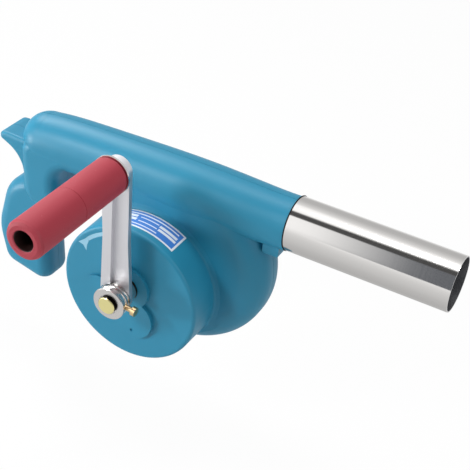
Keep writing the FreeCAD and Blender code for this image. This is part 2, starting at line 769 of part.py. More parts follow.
THIRD_PIN_FRONT = layer3_front - 0.4
third_pin = turned("third_idler_pin_turned", [
    ("0", str(THIRD_PIN_FRONT)),
    ("pin_radius + 1.2", str(THIRD_PIN_FRONT)),
    ("pin_radius + 1.2", str(THIRD_PIN_FRONT + 0.3)),
    ("pin_radius", str(THIRD_PIN_FRONT + 0.3)),
    ("pin_radius", str(floor_front + 4.2)),
    ("0", str(floor_front + 4.2)),
], str(third_axis.x), "0", str(third_axis.z))
keep("third_idler_pin", third_pin)
PIN_FRONT = COVER_FACE + " + 3.2"
for name, (x, z) in zip(("first_idler_pin", "second_idler_pin"), IDLER_PLACES):
    keep(name, rod(name, "pin_radius", PIN_FRONT, str(floor_front + 4.2 - worth(PIN_FRONT)), x, z))

# --------------------------------------------------------------------------------------------- crank set
shaft_front = "-hub_front - 2.3"
keep("crank_shaft", turned("crank_shaft_turned", [
    ("0", shaft_front),
    ("shaft_radius - 0.5", shaft_front),
    ("shaft_radius", shaft_front + " + 0.5"),
    ("shaft_radius", str(layer1_front - 0.2)),
    ("gear_seat_radius", str(layer1_front - 0.2)),
    ("gear_seat_radius", str(layer1_back + 0.1)),
    ("gear_seat_radius - 0.8", str(layer1_back + 0.1)),
    ("gear_seat_radius - 0.8", str(layer1_back + 0.9)),
    ("gear_seat_radius", str(layer1_back + 0.9)),
    ("gear_seat_radius", str(layer1_back + 1.4)),
    ("0", str(layer1_back + 1.4)),
], CRANK_X, "0", CRANK_Z))


def clip(name, x, z, front, back, inner, outer):
    """An open retaining ring in a shaft groove."""
    return keep(name, cut(name, rod(name + "_out", outer, front, back, x, z), fuse(name + "_room", [
        rod(name + "_in", inner, "-60", "100", x, z),
        block(name + "_mouth", "%s - 0.8 * (%s)" % (x, inner), "-60", z, "1.6 * (%s)" % inner, "100", "20"),
    ])))


clip("drive_gear_clip", CRANK_X, CRANK_Z, str(layer1_back + 0.12), "0.76", "gear_seat_radius - 0.78",
     "gear_seat_radius + 2")

hub_turned = turned("crank_hub_turned", [
    ("shaft_radius + 0.02", "-hub_front + 1.2"),
    ("shaft_radius + 0.6", "-hub_front + 1.2"),
    ("shaft_radius + 0.6", "-hub_front"),
    ("hub_radius - 0.3", "-hub_front"),
    ("hub_radius", "-hub_front + 0.3"),
    ("hub_radius", "-hub_front + 0.9"),
    ("hub_radius - 0.5", "-hub_front + 1.05"),
    ("hub_radius", "-hub_front + 1.2"),
    ("hub_radius", "-hub_front + 1.9"),
    ("hub_radius - 1.2", "-hub_front + 2.1"),
    ("hub_radius - 1.2", "-hub_front + 4.9"),
    ("hub_radius - 0.4", "-hub_front + 5.0"),
    ("hub_radius - 0.4", "-hub_front + 5.6"),
    ("hub_radius - 1.2", "-hub_front + 5.7"),
    ("hub_radius - 1.2", "-hub_front + 7.6"),
    ("hub_radius - 0.3", "-hub_front + 7.7"),
    ("hub_radius - 0.3", "-arm_step - 0.02"),
    ("hub_radius - 2.7", "-arm_step - 0.02"),
    ("hub_radius - 2.7", "-hub_back"),
    ("shaft_radius + 0.02", "-hub_back"),
], CRANK_X, "0", CRANK_Z)
screw_way = math.radians(size("set_screw_angle"))
SCREW_TURN = Rotation(Vector(0, 0, 1), Vector(math.cos(screw_way), 0, math.sin(screw_way)))


def along_screw(name, radius, start, length):
    """A cylinder on the set screw's line, from start to start + length out from the crank axis."""
    item = doc.addObject("Part::Cylinder", name)
    tie(item, "Radius", radius)
    item.Height = length
    way = Vector(math.cos(screw_way), 0, math.sin(screw_way))
    item.Placement = Placement(crank_axis + Vector(0, -size("hub_front") + 4.3, 0) + way * start, SCREW_TURN)
    return item


keep("crank_hub", cut("crank_hub", hub_turned,
                      along_screw("set_screw_hole", "set_screw_radius + 0.02", 4.0, 8.0)))
keep("hub_set_screw", fuse("hub_set_screw", [
    along_screw("set_screw_shank", "set_screw_radius", size("shaft_radius") + 0.02, 8.5),
    along_screw("set_screw_head", "set_screw_radius + 1.2", 13.6, 2.4),
]))


def arm_plate(name, circles, front, back):
    body = doc.addObject("PartDesign::Body", name)
    sketch = new_sketch(body, name + "_outline", "XZ_Plane")
    belt(sketch, circles)
    pad = body.newObject("PartDesign::Pad", name + "_pad")
    pad.Profile = sketch
    tie(pad, "Length", "(%s) - (%s)" % (front, back))
    body.Tip = pad
    place(body, "0", "-(%s)" % back, "0")
    return body


ARM = [
    (CRANK_X, CRANK_Z, "arm_hub_radius", 1),
    ("drum_x + 60", "drum_z + 47.2", "53.6", -1),
    (HANDLE_X, HANDLE_Z, "arm_end_radius", 1),
    ("drum_x - 62", "drum_z + 47.2", "53.6", -1),
]
rib_cut = block("rib_cut", "drum_x - arm_rib_edge", "-70", "drum_z - 20",
                "30", "70 - arm_step", "130")
keep("crank_arm", cut("crank_arm", fuse("arm_solid", [
    cut("arm_ribbed", arm_plate("arm_blank", ARM, "arm_front", "arm_back"), rib_cut),
    rod("arm_end_boss", "arm_end_radius", "-end_boss_front", "end_boss_front - arm_back",
        HANDLE_X, HANDLE_Z),
]), fuse("arm_cuts", [
    rod("arm_hub_bore", "hub_radius - 2.68", "-70", "40", CRANK_X, CRANK_Z),
    rod("arm_hub_seat", "hub_radius + 0.1", "-70", "70 - arm_step", CRANK_X, CRANK_Z),
    rod("arm_spindle_bore", "spindle_radius + 0.02", "-70", "40", HANDLE_X, HANDLE_Z),
])))
keep("spindle_washer", cut(
    "spindle_washer",
    rod("washer_out", "handle_radius + 0.2", "-end_boss_front - 1.2", "1.18", HANDLE_X, HANDLE_Z),
    rod("washer_in", "spindle_radius + 0.02", "-70", "40", HANDLE_X, HANDLE_Z)))
SPINDLE_HEAD = "-handle_far - handle_length + handle_bore_depth"
spindle = turned("spindle_turned", [
    ("0", SPINDLE_HEAD + " - 3.4"),
    ("handle_bore - 1.2", SPINDLE_HEAD + " - 3.4"),
    ("handle_bore - 0.6", SPINDLE_HEAD + " - 2.8"),
    ("handle_bore - 0.6", SPINDLE_HEAD + " - 0.2"),
    ("spindle_radius", SPINDLE_HEAD + " - 0.2"),
    ("spindle_radius", "-arm_back + 0.02"),
    ("spindle_radius + 1.6", "-arm_back + 0.02"),
    ("spindle_radius + 0.8", "-arm_back + 1.6"),
    ("0", "-arm_back + 1.9"),
], HANDLE_X, "0", HANDLE_Z)
keep("handle_spindle", spindle)

HANDLE_NEAR = "-handle_far - handle_length"
handle = turned("handle_turned", [
    ("spindle_radius + run_gap", "-handle_far"),
    ("handle_radius - 1.6", "-handle_far"),
    ("handle_radius - 0.5", "-handle_far - 0.5"),
    ("handle_radius", "-handle_far - 1.8"),
    ("handle_radius", "-handle_far - handle_length / 2 + 0.3"),
    ("handle_radius - 0.25", "-handle_far - handle_length / 2 + 0.1"),
    ("handle_radius - 0.25", "-handle_far - handle_length / 2 - 0.1"),
    ("handle_radius", "-handle_far - handle_length / 2 - 0.3"),
    ("handle_radius", HANDLE_NEAR + " + 2.2"),
    ("handle_radius - 0.7", HANDLE_NEAR + " + 0.7"),
    ("handle_radius - 2.4", HANDLE_NEAR),
    ("handle_bore + 0.6", HANDLE_NEAR),
    ("handle_bore", HANDLE_NEAR + " + 0.6"),
    ("handle_bore", SPINDLE_HEAD),
    ("spindle_radius + run_gap", SPINDLE_HEAD),
], HANDLE_X, "0", HANDLE_Z)
keep("crank_handle", handle)

# --------------------------------------------------------------------------------------------------- fan
for name, front, length in (("fan_bush_front", str(floor_front - 0.5), "5.4"),
                            ("fan_bush_rear", "disc_half - 4.7", "4")):
    keep(name, cut(
        name,
        rod(name + "_out", "fan_shaft_radius + 2.5", front, length, FAN_X, FAN_Z),
        rod(name + "_in", "fan_shaft_radius + run_gap", "-60", "100", FAN_X, FAN_Z)))
CLIP_Y = "impeller_front - 3.5"
keep("fan_shaft", turned("fan_shaft_turned", [
    ("0", str(layer3_front - 0.4)),
    ("fan_shaft_radius", str(layer3_front - 0.4)),
    ("fan_shaft_radius", CLIP_Y),
    ("fan_shaft_radius - 0.6", CLIP_Y),
    ("fan_shaft_radius - 0.6", CLIP_Y + " + 0.8"),
    ("fan_shaft_radius", CLIP_Y + " + 0.8"),
    ("fan_shaft_radius", "disc_half - 1"),
    ("0", "disc_half - 1"),
], FAN_X, "0", FAN_Z))
clip("impeller_clip", FAN_X, FAN_Z, CLIP_Y + " + 0.02", "0.76", "fan_shaft_radius - 0.58",
     "fan_shaft_radius + 1.7")

impeller_parts = [
    rod("impeller_plate", "impeller_radius", "impeller_back", "1.6", FAN_X, FAN_Z),
    rod("impeller_hub", "fan_shaft_radius + 4", "impeller_back - 1.6",
        "impeller_front - impeller_back - 2", FAN_X, FAN_Z),
    cut("impeller_shroud",
        rod("shroud_out", "impeller_radius", "impeller_front", "1.2", FAN_X, FAN_Z),
        rod("shroud_in", "impeller_eye + 8", "impeller_front - 1", "4", FAN_X, FAN_Z)),
]
for number in range(int(size("vane_count"))):
    vane = doc.addObject("Part::Box", "vane_%d" % (number + 1))
    tie(vane, "Length", "impeller_radius - impeller_eye - 1.5")
    tie(vane, "Width", "impeller_front - impeller_back - 0.6")
    tie(vane, "Height", "vane_thickness")
    spin = Rotation(Vector(0, -1, 0), 360.0 / size("vane_count") * number)
    start = Placement(Vector(size("impeller_eye") + 0.5, size("impeller_back") + 0.8, 2.0),
                      Rotation(Vector(0, -1, 0), -12))
    vane.Placement = Placement(fan_axis, spin).multiply(start)
    impeller_parts.append(vane)
keep("impeller", cut("impeller", fuse("impeller_solid", impeller_parts),
                     rod("impeller_bore", "fan_shaft_radius + 0.02", "-60", "100", FAN_X, FAN_Z)))


# ------------------------------------------------------------------------------------------------ screws
def screw(name, x, z, seat, shank):
    """A pan head screw along -Y: its head stands behind the seat and its shank runs forward of it."""
    return cut(name, fuse(name + "_solid", [
        rod(name + "_head", "screw_head_radius", seat, "2", x, z),
        rod(name + "_shank", "screw_radius", "(%s) - (%s)" % (seat, shank), shank, x, z),
    ]), fuse(name + "_cross", [
        block(name + "_slot_a", "%s - 1.7" % x, "(%s) + 1.1" % seat, "%s - 0.35" % z, "3.4", "3", "0.7"),
        block(name + "_slot_b", "%s - 0.35" % x, "(%s) + 1.1" % seat, "%s - 1.7" % z, "0.7", "3", "3.4"),
    ]))


def screw_set(name, screws):
    group = doc.addObject("Part::Compound", name)
    group.Links = screws
    return keep(name, group)


screw_set("shell_screws", [
    screw("shell_screw_%d" % n, x, z, "(%s) - 2.4" % head_back, "(%s) - 2.4 + 8" % head_back)
    for n, ((x, z), head_back) in enumerate(zip(SHELL_SCREWS, SCREW_HEAD_BACK), start=1)])
screw_set("cover_screws", [
    screw("cover_screw_%d" % n, x, z, "-disc_half + wall + 0.02", "12")
    for n, (x, z) in enumerate(COVER_SCREWS, start=1)])

# ------------------------------------------------------------------------------------------------ export
doc.recompute()
for item in doc.Objects:
    if "Invalid" in item.State or "Error" in item.State:
        raise RuntimeError("%s does not compute: %s" % (item.Label, item.State))
os.makedirs("parts", exist_ok=True)
for name, item in PARTS.items():
    if item.Shape.isNull() or not item.Shape.isValid():
        raise RuntimeError("%s has no valid shape" % name)
    item.Shape.exportStep("parts/%s.step" % name)
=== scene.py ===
# %% [markdown]
# # A hand crank forge blower
# This notebook dresses the finished CAD model of a pistol-grip blower. The model arrives with every
# mechanical piece in place, so the work here is finish: moulded plastic, cast and turned metal, a polished
# tube, the thin printed films on the gear drum, and a dark line of painted shade at the tube's joint. We load
# the model first, because every later measurement comes from it.

# %% Load the CAD model
import bpy
import json
import math
from mathutils import Matrix, Vector

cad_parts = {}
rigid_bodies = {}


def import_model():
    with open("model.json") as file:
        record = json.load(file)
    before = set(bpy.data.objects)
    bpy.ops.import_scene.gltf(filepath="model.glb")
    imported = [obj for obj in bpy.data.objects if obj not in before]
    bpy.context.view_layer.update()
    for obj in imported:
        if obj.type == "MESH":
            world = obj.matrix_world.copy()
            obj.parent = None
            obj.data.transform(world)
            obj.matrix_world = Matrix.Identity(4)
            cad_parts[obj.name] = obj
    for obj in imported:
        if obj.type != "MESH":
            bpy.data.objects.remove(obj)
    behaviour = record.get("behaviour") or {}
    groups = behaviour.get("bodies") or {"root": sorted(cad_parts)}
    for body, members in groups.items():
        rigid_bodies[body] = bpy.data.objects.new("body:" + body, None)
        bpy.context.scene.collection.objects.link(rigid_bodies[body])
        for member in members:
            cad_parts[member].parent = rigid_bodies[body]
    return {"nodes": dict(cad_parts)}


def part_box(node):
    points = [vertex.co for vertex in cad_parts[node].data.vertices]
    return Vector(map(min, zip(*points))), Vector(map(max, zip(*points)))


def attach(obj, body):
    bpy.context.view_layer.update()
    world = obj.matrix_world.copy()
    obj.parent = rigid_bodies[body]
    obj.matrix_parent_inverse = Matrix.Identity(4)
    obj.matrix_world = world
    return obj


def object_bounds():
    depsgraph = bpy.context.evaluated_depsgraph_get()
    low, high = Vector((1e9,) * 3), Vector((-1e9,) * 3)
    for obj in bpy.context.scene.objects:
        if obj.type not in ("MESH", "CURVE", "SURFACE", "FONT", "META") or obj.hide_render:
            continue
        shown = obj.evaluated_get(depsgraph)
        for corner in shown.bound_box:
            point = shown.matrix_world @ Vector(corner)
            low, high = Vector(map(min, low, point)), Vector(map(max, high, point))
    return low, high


MM = 0.001
for leftover in list(bpy.data.objects):
    bpy.data.objects.remove(leftover)
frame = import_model()
nodes = frame["nodes"]
cad_low, cad_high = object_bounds()
print("CAD model,", len(nodes), "nodes, size in mm:", [round(v / MM) for v in cad_high - cad_low])

# %% [markdown]
# ## The places that everything else is measured from
# The drum, the crank and the tube each turn about an axis that the model already has, so their centres are
# read from the model's own boxes. A film that is placed from these numbers stays on its piece.

# %% Read the drum and tube centres
def middle(node):
    low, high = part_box(node)
    return (Vector(low) + Vector(high)) / 2


drum_low, drum_high = (Vector(corner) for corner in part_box("gear_cover"))
drum_axis = Vector(((drum_low.x + drum_high.x) / 2, 0, (drum_low.z + drum_high.z) / 2))
tube_axis = middle("outlet_tube")
print("drum axis in mm:", [round(v / MM, 1) for v in drum_axis])
print("tube centre in mm:", [round(v / MM, 1) for v in tube_axis])

# %% [markdown]
# ## The camera
# The blower is seen from its crank side, from above and a little from the outlet, through a long lens. The
# camera is placed by three unit vectors: its right, its up and the way back from the object. A matrix built
# from them says the same as three rotations, but it is easier to check: the vectors are the rows of the view.

# %% Place the camera
CAMERA_PLACE = Vector((364.07, -468.73, 401.14)) * MM
SENSOR_WIDTH, FOCAL_LENGTH = 36.0, 83.67
NEAREST, FURTHEST = 0.01, 10.0
to_right = Vector((0.87402, 0.47779, 0.08836))
to_top = Vector((-0.33795, 0.46710, 0.81707))
to_back = Vector((0.34912, -0.74400, 0.56972))

camera_data = bpy.data.cameras.new("studio_camera")
camera_data.sensor_width = SENSOR_WIDTH
camera_data.lens = FOCAL_LENGTH
camera_data.clip_start, camera_data.clip_end = NEAREST, FURTHEST
camera = bpy.data.objects.new("studio_camera", camera_data)
bpy.context.scene.collection.objects.link(camera)
bpy.context.scene.camera = camera
turn = Matrix((to_right, to_top, to_back)).transposed().to_4x4()
camera.matrix_world = Matrix.Translation(CAMERA_PLACE) @ turn
print("camera distance to the drum in mm:", round((camera.location - drum_axis).length / MM))

# %% [markdown]
# ## Floor and light
# A pale floor and an even white surround keep the colours honest. The lamps stay at a level where a colour
# comes out about as it is written. The surround is a world shader with three faces. The camera sees plain
# white. Shiny surfaces see a studio room of pale and dark bands, because polished metal looks like metal only
# when it has something to reflect. Everything else is lit by it as a faint, even fill.

# %% Helpers for shader nodes and colour
def linear(code):
    """A linear RGBA colour from an sRGB hex value."""
    channels = [int(code[i:i + 2], 16) / 255 for i in (1, 3, 5)]
    return tuple(c / 12.92 if c <= 0.04045 else ((c + 0.055) / 1.055) ** 2.4 for c in channels) + (1.0,)


def add_node(tree, kind, settings=None, inputs=None):
    """Add one shader node. Settings are its properties; inputs are values, or (node, output) links.

    A socket goes by its name or number. On a Map Range, 1 and 2 are the range that comes in, and 3 and 4 the
    range that goes out. On a Mix of colours, 6 and 7 are the two colours, and the mixed one leaves at 2.
    """
    node = tree.nodes.new(kind)
    for name, value in (settings or {}).items():
        setattr(node, name, value)
    for name, value in (inputs or {}).items():
        if isinstance(value, tuple) and len(value) == 2 and isinstance(value[0], bpy.types.Node):
            tree.links.new(value[0].outputs[value[1]], node.inputs[name])
        else:
            node.inputs[name].default_value = value
    return node


# %% Room tones
# Each tone is (degrees, brightness) round the X axis: 0 is level on the crank side, 90 is overhead, 180 is
# level on the inlet side and -90 is straight down. The dark band above the crank side is a beam.
ROOM_TONES = [
    (-180, 0.75), (-164, 1.0), (-154, 1.1), (-140, 0.80), (-126, 0.58), (-90, 0.60), (-60, 0.68),
    (-47, 0.74), (-27, 0.82), (-16, 0.88), (-6, 0.96), (4, 1.16), (14, 1.29), (58, 1.29), (60, 0.09),
    (77, 0.09), (83, 1.33), (110, 1.33), (118, 1.0), (126, 0.86), (136, 0.73), (146, 0.64), (158, 0.62),
    (172, 0.62), (180, 0.75),
]
DOORWAY_LOW, DOORWAY_HIGH = 182 / 360, 240 / 360     # shares of the turn from -180 to 180 degrees
DOORWAY_START, DOORWAY_FULL = -0.29, -0.195          # how far towards the outlet it starts and is full
DOORWAY_TONE = (0.16, 0.17, 0.19, 1.0)
FILL_STRENGTH = 0.08

# %% World
bpy.context.scene.view_settings.view_transform = "Standard"
world = bpy.data.worlds.new("studio_room")
bpy.context.scene.world = world
world.use_nodes = True
sky = world.node_tree
sky.nodes.clear()
rays = add_node(sky, "ShaderNodeLightPath")
direction = add_node(sky, "ShaderNodeTexCoord")
parts = add_node(sky, "ShaderNodeSeparateXYZ", None, {0: (direction, "Generated")})
toward_front = add_node(sky, "ShaderNodeMath", {"operation": "MULTIPLY"}, {0: (parts, "Y"), 1: -1.0})
angle = add_node(sky, "ShaderNodeMath", {"operation": "ARCTAN2"}, {0: (parts, "Z"), 1: (toward_front, 0)})
around = add_node(sky, "ShaderNodeMapRange", None, {0: (angle, 0), 1: -math.pi, 2: math.pi})
room = add_node(sky, "ShaderNodeValToRGB", None, {0: (around, 0)})
ramp = room.color_ramp
while len(ramp.elements) < len(ROOM_TONES):
    ramp.elements.new(0.5)
for stop, (degrees, tone) in zip(ramp.elements, ROOM_TONES):
    stop.position = (degrees + 180) / 360
    stop.color = (tone, tone, tone, 1.0)
doorway = add_node(sky, "ShaderNodeMapRange", None,
                   {0: (parts, "X"), 1: DOORWAY_START, 2: DOORWAY_FULL, 3: 0.0, 4: 1.0})
above = add_node(sky, "ShaderNodeMath", {"operation": "GREATER_THAN"}, {0: (around, 0), 1: DOORWAY_LOW})
below = add_node(sky, "ShaderNodeMath", {"operation": "LESS_THAN"}, {0: (around, 0), 1: DOORWAY_HIGH})
band = add_node(sky, "ShaderNodeMath", {"operation": "MULTIPLY"}, {0: (above, 0), 1: (below, 0)})
dark = add_node(sky, "ShaderNodeMath", {"operation": "MULTIPLY"}, {0: (band, 0), 1: (doorway, 0)})
shaded = add_node(sky, "ShaderNodeMix", {"data_type": "RGBA"}, {0: (dark, 0), 6: (room, 0), 7: DOORWAY_TONE})
room_light = add_node(sky, "ShaderNodeBackground", None, {"Color": (shaded, 2), "Strength": 1.0})
soft_fill = add_node(sky, "ShaderNodeBackground", None,
                     {"Color": linear("#F4F6F8"), "Strength": FILL_STRENGTH})
white_seen = add_node(sky, "ShaderNodeBackground", None, {"Color": (1, 1, 1, 1), "Strength": 1.0})
glossy_choice = add_node(sky, "ShaderNodeMixShader", None,
                         {0: (rays, "Is Glossy Ray"), 1: (soft_fill, 0), 2: (room_light, 0)})
choice = add_node(sky, "ShaderNodeMixShader", None,
                  {0: (rays, "Is Camera Ray"), 1: (glossy_choice, 0), 2: (white_seen, 0)})
add_node(sky, "ShaderNodeOutputWorld", None, {"Surface": (choice, 0)})
print("studio room with", len(ROOM_TONES), "tones")

# %% Lamps
LAMP_AIM = Vector((0.11, -0.02, 0.03))
LAMPS = [
    # name, place, diameter in metres, watts
    ("key_lamp", (-0.55, -0.85, 0.65), 0.3, 6.4),
    ("low_lamp", (-0.80, -0.60, -0.05), 0.3, 7.6),
    ("rear_lamp", (-0.60, 0.25, 0.80), 0.5, 6.2),
    ("top_lamp", (0.10, 0.08, 1.05), 0.3, 3.8),
    ("outlet_lamp", (1.00, -0.30, 0.50), 0.8, 3.4),
]
for name, lamp_place, diameter, watts in LAMPS:
    light = bpy.data.lights.new(name, "AREA")
    light.shape = "DISK"
    light.size = diameter
    light.energy = watts
    holder = bpy.data.objects.new(name, light)
    bpy.context.scene.collection.objects.link(holder)
    holder.location = lamp_place
    holder.rotation_mode = "QUATERNION"
    holder.rotation_quaternion = (LAMP_AIM - Vector(lamp_place)).to_track_quat("-Z", "Y")
print(len(LAMPS), "lamps, watts in all:", round(sum(lamp[-1] for lamp in LAMPS), 1))

# %% Floor
FLOOR_SIZE, FLOOR_MIDDLE, FLOOR_DROP = 6.0, 0.1, 0.055
FLOOR_GLOW = 0.96          # the share of the floor that the camera sees as white; the rest takes shadow
bpy.ops.object.select_all(action="DESELECT")
bpy.ops.mesh.primitive_plane_add(size=FLOOR_SIZE, location=(FLOOR_MIDDLE, 0.0, cad_low.z - FLOOR_DROP))
floor = bpy.context.active_object
floor.name = "studio_floor"
floor_paint = bpy.data.materials.new("matt white floor")
floor_paint.use_nodes = True
tree = floor_paint.node_tree
tree.nodes.clear()
floor_rays = add_node(tree, "ShaderNodeLightPath")
matt = add_node(tree, "ShaderNodeBsdfDiffuse", None, {"Color": linear("#F2F2F2")})
glow = add_node(tree, "ShaderNodeEmission", None, {"Color": (1, 1, 1, 1), "Strength": 1.0})
clear = add_node(tree, "ShaderNodeBsdfTransparent")
share = add_node(tree, "ShaderNodeMath", {"operation": "MULTIPLY"},
                 {0: (floor_rays, "Is Camera Ray"), 1: FLOOR_GLOW})
mixed = add_node(tree, "ShaderNodeMixShader", None, {0: (share, 0), 1: (matt, 0), 2: (glow, 0)})
open_to_shine = add_node(tree, "ShaderNodeMixShader", None,
                         {0: (floor_rays, "Is Glossy Ray"), 1: (mixed, 0), 2: (clear, 0)})
add_node(tree, "ShaderNodeOutputMaterial", None, {"Surface": (open_to_shine, 0)})
floor.data.materials.append(floor_paint)
print("floor below the object in mm:", round(FLOOR_DROP / MM))

# %% [markdown]
# ## Moulded plastic
# The housing is injection moulded ABS, coloured through. The tool was textured by spark erosion, which gives
# a fine even grain about a third of a millimetre wide and a satin sheen. The grain is a noise bump, and the
# colour varies by a few percent as resin does along its flow. Use has left a fine scatter of pale rubs. The
# wall of the handle's bore is painted darker, as painted shade inside the bore.

# %% Moulded plastic material
FLOW_MM = 45                              # how wide the resin's flow marks are
RUB_EDGE, RUB_STRENGTH = 0.10, 0.45       # how softly a rub ends, and how much of it shows
GLOSSIER, DULLER = 0.04, 0.05             # how far the roughness wanders along the flow
PLASTIC_IOR = 1.53


def new_material(name):
    material = bpy.data.materials.new(name)
    material.use_nodes = True
    material.node_tree.nodes.clear()
    return material, material.node_tree


def inside_of(tree, place, axis, centre, radius_mm):
    """A mask that is 1 nearer than a radius to an axis line through a centre: a bore's own wall."""
    flat = [1.0, 1.0, 1.0]
    flat["XYZ".index(axis)] = 0.0
    offset = add_node(tree, "ShaderNodeVectorMath", {"operation": "SUBTRACT"},
                      {0: (place, "Object"), 1: centre})
    across = add_node(tree, "ShaderNodeVectorMath", {"operation": "MULTIPLY"}, {0: (offset, 0), 1: flat})
    reach = add_node(tree, "ShaderNodeVectorMath", {"operation": "LENGTH"}, {0: (across, 0)})
    return add_node(tree, "ShaderNodeMath", {"operation": "LESS_THAN"},
                    {0: (reach, "Value"), 1: radius_mm * MM})


def moulded(name, colour, darker, roughness, grain_mm, grain_height_mm, shine=0.5, scuff=None, bore=None):
    """Injection moulded plastic: coloured through, with the fine grain of the tool.

    A scuff is (colour, size in mm, threshold): pale rubs where a noise is over the threshold.
    A bore is (axis, centre, radius in mm, colour): its wall is painted that colour, as painted shade.
    """
    material, tree = new_material(name)
    place = add_node(tree, "ShaderNodeTexCoord")
    flow = add_node(tree, "ShaderNodeTexNoise", None,
                    {"Vector": (place, "Object"), "Scale": 1 / (FLOW_MM * MM), "Detail": 3.0,
                     "Roughness": 0.55})
    tint =add_node(tree, "ShaderNodeMix", {"data_type": "RGBA"},
                    {0: (flow, 0), 6: linear(colour), 7: linear(darker)})
    if scuff:
        pale, size_mm, least = scuff
        rubs = add_node(tree, "ShaderNodeTexNoise", None,
                        {"Vector": (place, "Object"), "Scale": 1 / (size_mm * MM), "Detail": 4.0})
        rubbed = add_node(tree, "ShaderNodeMapRange", None,
                          {0: (rubs, 0), 1: least, 2: least + RUB_EDGE, 3: 0.0, 4: RUB_STRENGTH})
        tint = add_node(tree, "ShaderNodeMix", {"data_type": "RGBA"},
                        {0: (rubbed, 0), 6: (tint, 2), 7: linear(pale)})
    # Painted shade: a bore's wall is painted a darker colour where shade falls inside it.
    if bore:
        axis, centre, radius_mm, painted_bore_shade = bore
        within = inside_of(tree, place, axis, centre, radius_mm)
        tint = add_node(tree, "ShaderNodeMix", {"data_type": "RGBA"},
                        {0: (within, 0), 6: (tint, 2), 7: linear(painted_bore_shade)})
    grain = add_node(tree, "ShaderNodeTexNoise", None,
                     {"Vector": (place, "Object"), "Scale": 1 / (grain_mm * MM), "Detail": 2.0})
    bump = add_node(tree, "ShaderNodeBump", None,
                    {"Height": (grain, 0), "Distance": grain_height_mm * MM, "Strength": 0.6})
    gloss = add_node(tree, "ShaderNodeMapRange", None,
                     {0: (flow, 0), 3: roughness - GLOSSIER, 4: roughness + DULLER})
    shader = add_node(tree, "ShaderNodeBsdfPrincipled", None,
                      {"Base Color": (tint, 2), "Roughness": (gloss, 0), "Normal": (bump, 0),
                       "IOR": PLASTIC_IOR, "Specular IOR Level": shine})
    add_node(tree, "ShaderNodeOutputMaterial", None, {"Surface": (shader, 0)})
    return material


blue_abs = moulded("blue ABS, spark eroded satin", "#2487A8", "#2280A0", 0.44, 0.35, 0.012, 0.36,
                   scuff=("#4FA6C2", 2.0, 0.74))
# The near-black colour in the handle's bore is painted shade.
red_pp = moulded("red polypropylene, satin", "#AC3443", "#A02E3D", 0.58, 0.40, 0.012, 0.45,
                 scuff=("#CF8C90", 1.3, 0.70), bore=("Y", middle("crank_handle"), 5.9, "#2A1210"))
black_pp = moulded("black polypropylene", "#1B1C1D", "#141516", 0.45, 0.40, 0.010)
natural_nylon = moulded("natural nylon", "#E3E0D4", "#DAD6C8", 0.42, 0.50, 0.006)
print("plastics:", ", ".join(each.name for each in (blue_abs, red_pp, black_pp, natural_nylon)))

# %% [markdown]
# ## Metals
# The metals differ by how their surface was made. The tube is rolled and buffed stainless steel, nearly a
# mirror, with faint buffing lines round it, and its inner wall is left as rolled and so duller; its darker
# colour there is painted shade inside the tube. The arm is die cast aluminium, dull and pale, with a soft
# grain.
# Turned steel carries rings from the lathe, and zinc plating has a straw tint. The side of the shaft's end is
# painted black, as painted shade of the gap round it, so that its yellow face stands out.

# %% Metal material
LINE_STRETCH = 0.02          # buffing and turning marks are fifty times longer than they are wide


def metal(name, colour, roughness, lines=None, grain_mm=0.4, grain_height_mm=0.004, rough_spread=0.05,
          bore=None, skin=None):
    """A bare or plated metal with a fine grain, or with buffing or turning marks.

    Lines is (axis, spacing in mm): the marks lie across that axis and take the place of the grain.
    A bore is (axis, centre, radius in mm, roughness): its wall is left as rolled, and so duller.
    A skin is (axis, centre, radius in mm, colour): what lies further out from the axis has that colour.
    """
    material, tree = new_material(name)
    place = add_node(tree, "ShaderNodeTexCoord")
    if lines:
        axis, spacing_mm = lines
        squeeze = [LINE_STRETCH] * 3
        squeeze["XYZ".index(axis)] = 1.0
        mapping = add_node(tree, "ShaderNodeMapping", None, {"Vector": (place, "Object"), "Scale": squeeze})
        marks = add_node(tree, "ShaderNodeTexNoise", None,
                         {"Vector": (mapping, 0), "Scale": 1 / (spacing_mm * MM), "Detail": 4.0})
    else:
        marks = add_node(tree, "ShaderNodeTexNoise", None,
                         {"Vector": (place, "Object"), "Scale": 1 / (grain_mm * MM), "Detail": 3.0})
    bump = add_node(tree, "ShaderNodeBump", None,
                    {"Height": (marks, 0), "Distance": grain_height_mm * MM, "Strength": 0.5})
    gloss = add_node(tree, "ShaderNodeMapRange", None,
                     {0: (marks, 0), 3: roughness - rough_spread, 4: roughness + rough_spread})
    if bore:
        axis, centre, radius_mm, dull = bore
        within = inside_of(tree, place, axis, centre, radius_mm)
        gloss = add_node(tree, "ShaderNodeMix", {"data_type": "FLOAT"},
                         {0: (within, 0), 2: (gloss, 0), 3: dull})
    base = linear(colour)
    if skin:
        axis, centre, radius_mm, outer = skin
        within = inside_of(tree, place, axis, centre, radius_mm)
        base = (add_node(tree, "ShaderNodeMix", {"data_type": "RGBA"},
                         {0: (within, 0), 6: linear(outer), 7: linear(colour)}), 2)
    shader = add_node(tree, "ShaderNodeBsdfPrincipled", None,
                      {"Base Color": base, "Metallic": 1.0, "Roughness": (gloss, 0), "Normal": (bump, 0)})
    add_node(tree, "ShaderNodeOutputMaterial", None, {"Surface": (shader, 0)})
    return material


